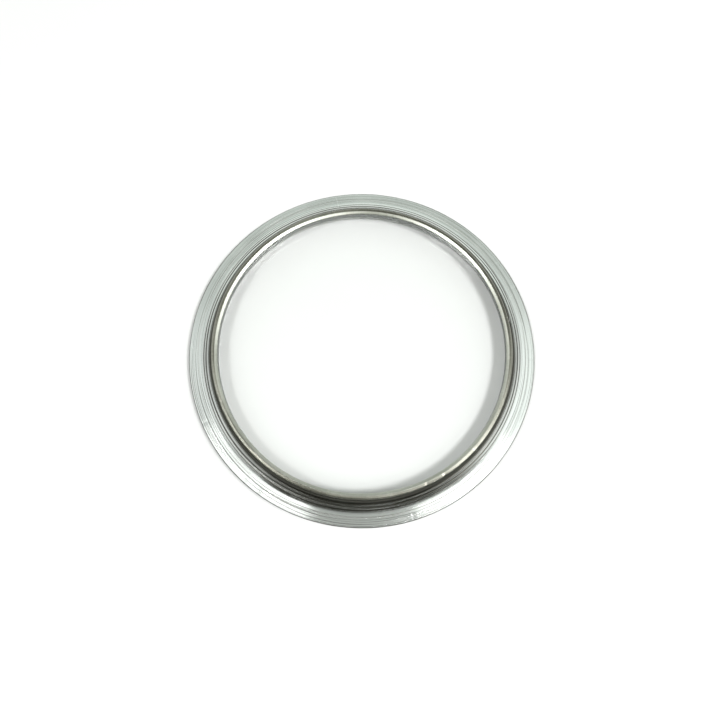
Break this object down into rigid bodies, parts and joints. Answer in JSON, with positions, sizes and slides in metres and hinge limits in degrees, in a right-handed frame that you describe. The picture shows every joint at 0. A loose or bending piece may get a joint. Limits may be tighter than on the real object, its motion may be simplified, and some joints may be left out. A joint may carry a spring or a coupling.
{
  "type": "clamp sight glass",
  "caption": "Flanged round sight glass for a sanitary clamp joint: a turned steel ring with a short collar holding a clear glass disc.",
  "frame": {"origin": "centre of the sealing face, on the axis, at the object's lowest plane", "axes": "+Z along the axis from the sealing face to the lip of the collar; +X and +Y lie in the sealing face"},
  "size_m": [0.119, 0.119, 0.0085],
  "materials": {
    "turned_steel": "fine turned stainless steel with concentric tool marks",
    "black_seal": "matt black EPDM",
    "clear_glass": "polished clear borosilicate with a ground edge",
    "white_seal": "skived white PTFE",
    "ring_steel": "turned stainless steel"
  },
  "bodies": {
    "root": {"frame_ring": "turned_steel", "upper_gasket": "black_seal", "glass_disc": "clear_glass", "lower_gasket": "white_seal", "retaining_ring": "ring_steel"}
  },
  "joints": []
}
